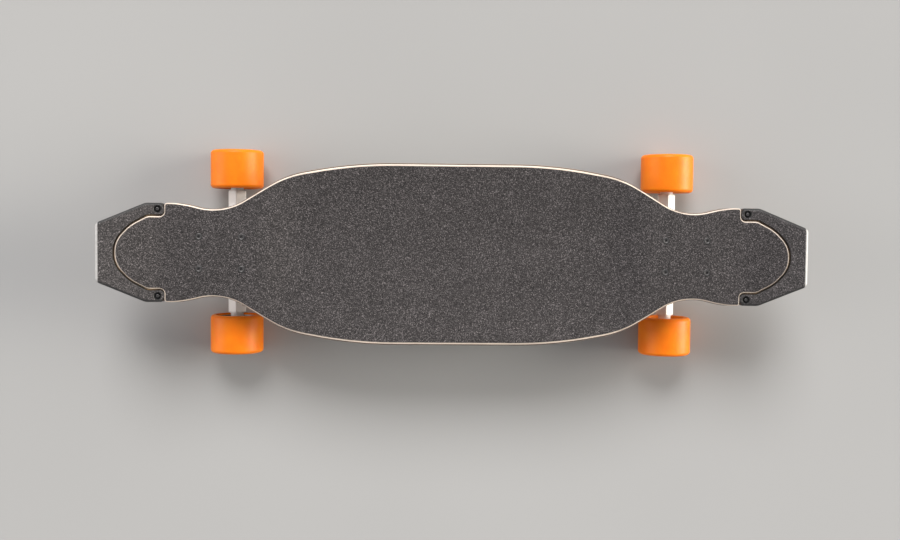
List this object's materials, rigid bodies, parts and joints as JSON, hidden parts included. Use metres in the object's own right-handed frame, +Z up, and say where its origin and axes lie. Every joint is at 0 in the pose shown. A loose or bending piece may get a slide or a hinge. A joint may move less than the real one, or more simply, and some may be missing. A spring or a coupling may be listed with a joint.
{
  "type": "electric skateboard",
  "caption": "Electric skateboard: drop-through-shaped wooden deck with bolted end bumpers, white trucks, orange wheels with rear hub motors, and a battery tray under the deck.",
  "frame": {"origin": "on the ground under the middle of the deck, with the board standing on its four wheels", "axes": "+X to the nose, +Y to the rider's left when facing the nose, +Z up"},
  "size_m": [0.906, 0.271, 0.1293],
  "materials": {
    "maple_plies": "clear-lacquered maple plies, cream at the rounded rim and darker where the plies are stained",
    "grip": "dark grey grit-coated sheet with fine sparkling grains",
    "bumper_plastic": "dark grey moulded plastic, finely textured on top",
    "tray_plastic": "black moulded plastic, lightly textured",
    "black_rubber": "matte black rubber",
    "battery_wrap": "blue shrink wrap",
    "controller_case": "bead-blasted aluminium case",
    "white_powder_coat": "satin white powder coat on cast aluminium",
    "zinc_steel": "zinc-plated steel",
    "black_steel": "black-oxide steel",
    "bushing_urethane": "translucent off-white urethane",
    "wheel_urethane": "satin orange urethane, slightly translucent",
    "core_plastic": "off-white moulded core",
    "motor_can": "anodised silver-grey machined aluminium",
    "motor_windings": "laminated steel with copper windings"
  },
  "bodies": {
    "board": {"deck": "maple_plies", "grip_tape": "grip", "nose_bumper": "bumper_plastic", "nose_bumper_screw_left": "black_steel", "nose_bumper_screw_right": "black_steel", "tail_bumper": "bumper_plastic", "tail_bumper_screw_left": "black_steel", "tail_bumper_screw_right": "black_steel", "battery_tray": "tray_plastic", "tray_gasket": "black_rubber", "battery_pack": "battery_wrap", "motor_controller": "controller_case", "charge_socket": "black_steel", "motor_lead_gland": "black_rubber", "front_truck_bolt_1": "black_steel", "front_truck_bolt_2": "black_steel", "front_truck_bolt_3": "black_steel", "front_truck_bolt_4": "black_steel", "front_baseplate": "white_powder_coat", "front_pivot_cup": "black_rubber", "front_kingpin": "zinc_steel", "front_kingpin_nut": "zinc_steel", "front_upper_bushing": "bushing_urethane", "front_lower_bushing": "bushing_urethane", "front_bushing_washer": "zinc_steel", "rear_truck_bolt_1": "black_steel", "rear_truck_bolt_2": "black_steel", "rear_truck_bolt_3": "black_steel", "rear_truck_bolt_4": "black_steel", "rear_baseplate": "white_powder_coat", "rear_pivot_cup": "black_rubber", "rear_kingpin": "zinc_steel", "rear_kingpin_nut": "zinc_steel", "rear_upper_bushing": "bushing_urethane", "rear_lower_bushing": "bushing_urethane", "rear_bushing_washer": "zinc_steel"},
    "front_hanger": {"front_hanger": "white_powder_coat", "front_axle": "zinc_steel", "front_left_axle_nut": "zinc_steel", "front_right_axle_nut": "zinc_steel"},
    "rear_hanger": {"rear_hanger": "white_powder_coat", "rear_axle": "zinc_steel", "rear_left_axle_nut": "zinc_steel", "rear_right_axle_nut": "zinc_steel", "rear_left_motor_stator": "motor_windings", "rear_right_motor_stator": "motor_windings"},
    "front_left_wheel": {"front_left_tyre": "wheel_urethane", "front_left_wheel_core": "core_plastic", "front_left_inner_bearing": "zinc_steel", "front_left_outer_bearing": "zinc_steel"},
    "front_right_wheel": {"front_right_tyre": "wheel_urethane", "front_right_wheel_core": "core_plastic", "front_right_inner_bearing": "zinc_steel", "front_right_outer_bearing": "zinc_steel"},
    "rear_left_wheel": {"rear_left_motor_tyre": "wheel_urethane", "rear_left_motor_rotor": "motor_can"},
    "rear_right_wheel": {"rear_right_motor_tyre": "wheel_urethane", "rear_right_motor_rotor": "motor_can"},
    "power_button": {"power_button": "black_rubber"},
    "charge_port_cover": {"charge_port_cover": "black_rubber"}
  },
  "joints": [
    {"name": "front_truck_steer", "type": "hinge", "parent": "board", "child": "front_hanger", "pos_m": [0.30218, 0, 0.06481], "axis": [0.7431, 0, 0.6691], "range_deg": [-18, 18], "stiffness_Nm_per_rad": 90, "deforming": ["front_upper_bushing", "front_lower_bushing"]},
    {"name": "front_left_wheel_spin", "type": "hinge", "parent": "front_hanger", "child": "front_left_wheel", "pos_m": [0.29, 0.11, 0.035], "axis": [0, 1, 0], "continuous": true},
    {"name": "front_right_wheel_spin", "type": "hinge", "parent": "front_hanger", "child": "front_right_wheel", "pos_m": [0.29, -0.11, 0.035], "axis": [0, 1, 0], "continuous": true},
    {"name": "rear_truck_steer", "type": "hinge", "parent": "board", "child": "rear_hanger", "pos_m": [-0.30218, 0, 0.06481], "axis": [-0.7431, 0, 0.6691], "range_deg": [-18, 18], "stiffness_Nm_per_rad": 90, "deforming": ["rear_upper_bushing", "rear_lower_bushing"]},
    {"name": "rear_left_wheel_spin", "type": "hinge", "parent": "rear_hanger", "child": "rear_left_wheel", "pos_m": [-0.29, 0.11, 0.035], "axis": [0, 1, 0], "continuous": true},
    {"name": "rear_right_wheel_spin", "type": "hinge", "parent": "rear_hanger", "child": "rear_right_wheel", "pos_m": [-0.29, -0.11, 0.035], "axis": [0, 1, 0], "continuous": true},
    {"name": "power_button_press", "type": "slide", "parent": "board", "child": "power_button", "axis": [0, -1, 0], "range_m": [0, 0.0012], "stiffness_N_per_m": 300, "springref_m": -0.001},
    {"name": "charge_port_cover_swing", "type": "hinge", "parent": "board", "child": "charge_port_cover", "pos_m": [-0.084, 0.0771, 0.08135], "axis": [1, 0, 0], "range_deg": [0, 100]}
  ]
}
